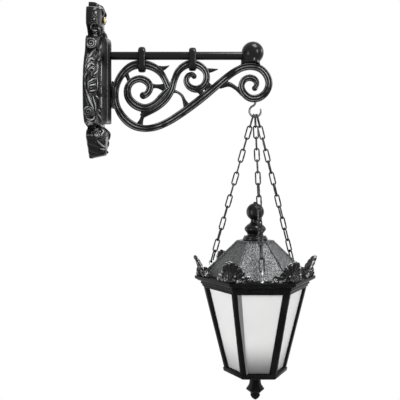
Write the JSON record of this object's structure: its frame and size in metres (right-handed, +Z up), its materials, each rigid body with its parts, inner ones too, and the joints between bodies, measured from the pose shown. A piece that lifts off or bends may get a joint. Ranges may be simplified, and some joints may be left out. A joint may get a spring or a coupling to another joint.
{
  "type": "wall lantern",
  "caption": "Hexagonal opal glass lantern hung on three chains from a hook under a cast scroll bracket with a relief wall plate.",
  "frame": {"origin": "the wall, at the middle of the flat back of the wall plate's central rib, 32 mm behind the spine bar", "axes": "+X away from the wall along the arm, +Z up, +Y along the wall, away from the side that the picture shows"},
  "size_m": [0.6155, 0.3082, 1.0666],
  "materials": {
    "bracket_iron": "gloss black paint over a cast surface",
    "lantern_paint": "gloss black paint on cast aluminium",
    "hammered_paint": "hammered dark paint",
    "gilt": "worn gilding",
    "chain_steel": "dulled zinc plate",
    "hook_steel": "bright zinc plate",
    "zinc_steel": "zinc plate",
    "brass": "turned",
    "opal_glass": "opal, satin",
    "bulb_glass": "frosted",
    "white_plastic": "moulded"
  },
  "bodies": {
    "bracket": {"wall_plate": "bracket_iron", "gilt_rosette": "gilt", "spine_bar": "bracket_iron", "spine_screw_1": "zinc_steel", "spine_screw_2": "zinc_steel", "spine_screw_3": "zinc_steel", "foot_screw_1": "zinc_steel", "foot_screw_2": "zinc_steel", "bracket_bar": "bracket_iron", "bar_ball": "bracket_iron", "scroll_bracket": "bracket_iron", "collar_inner": "bracket_iron", "collar_outer": "bracket_iron"},
    "hook": {"hook": "hook_steel"},
    "lantern": {"chain_front": "chain_steel", "chain_left": "chain_steel", "chain_right": "chain_steel", "eye_bolt_front": "hook_steel", "eye_bolt_left": "hook_steel", "eye_bolt_right": "hook_steel", "cornice": "lantern_paint", "body_frame": "lantern_paint", "frame_screw_1": "zinc_steel", "frame_screw_2": "zinc_steel", "frame_screw_3": "zinc_steel", "palmette_1": "lantern_paint", "palmette_2": "lantern_paint", "palmette_3": "lantern_paint", "palmette_4": "lantern_paint", "palmette_5": "lantern_paint", "palmette_6": "lantern_paint", "glass_pane_1": "opal_glass", "glass_pane_2": "opal_glass", "glass_pane_3": "opal_glass", "glass_pane_4": "opal_glass", "glass_pane_5": "opal_glass", "glass_pane_6": "opal_glass", "glass_retainer": "zinc_steel", "base_plate": "lantern_paint", "base_screw_1": "zinc_steel", "base_screw_2": "zinc_steel", "base_screw_3": "zinc_steel", "drop_finial": "lantern_paint", "drop_nut": "zinc_steel", "lamp_rod": "zinc_steel", "lamp_bridge": "zinc_steel", "bridge_screw_1": "zinc_steel", "bridge_screw_2": "zinc_steel", "rod_nut_upper": "brass", "rod_nut_lower": "brass", "lampholder_cap": "white_plastic", "lampholder_body": "white_plastic"},
    "roof": {"roof": "hammered_paint"},
    "finial": {"finial": "lantern_paint", "cord_gland": "lantern_paint"},
    "bulb": {"bulb_cap": "brass", "bulb_envelope": "bulb_glass"}
  },
  "joints": [
    {"name": "hook_turn", "type": "hinge", "parent": "bracket", "child": "hook", "pos_m": [0.446, 0, -0.05], "axis": [0, 0, 1], "range_deg": [-90, 90]},
    {"name": "lantern_swing", "type": "hinge", "parent": "hook", "child": "lantern", "pos_m": [0.446, 0, -0.0997], "axis": [1, 0, 0], "range_deg": [-15, 15]},
    {"name": "roof_lift", "type": "slide", "parent": "lantern", "child": "roof", "axis": [0, 0, 1], "range_m": [0, 0.03]},
    {"name": "finial_turn", "type": "hinge", "parent": "roof", "child": "finial", "pos_m": [0.446, 0, -0.4], "axis": [0, 0, 1], "continuous": true},
    {"name": "bulb_turn", "type": "hinge", "parent": "lantern", "child": "bulb", "pos_m": [0.446, 0, -0.65], "axis": [0, 0, 1], "continuous": true}
  ]
}
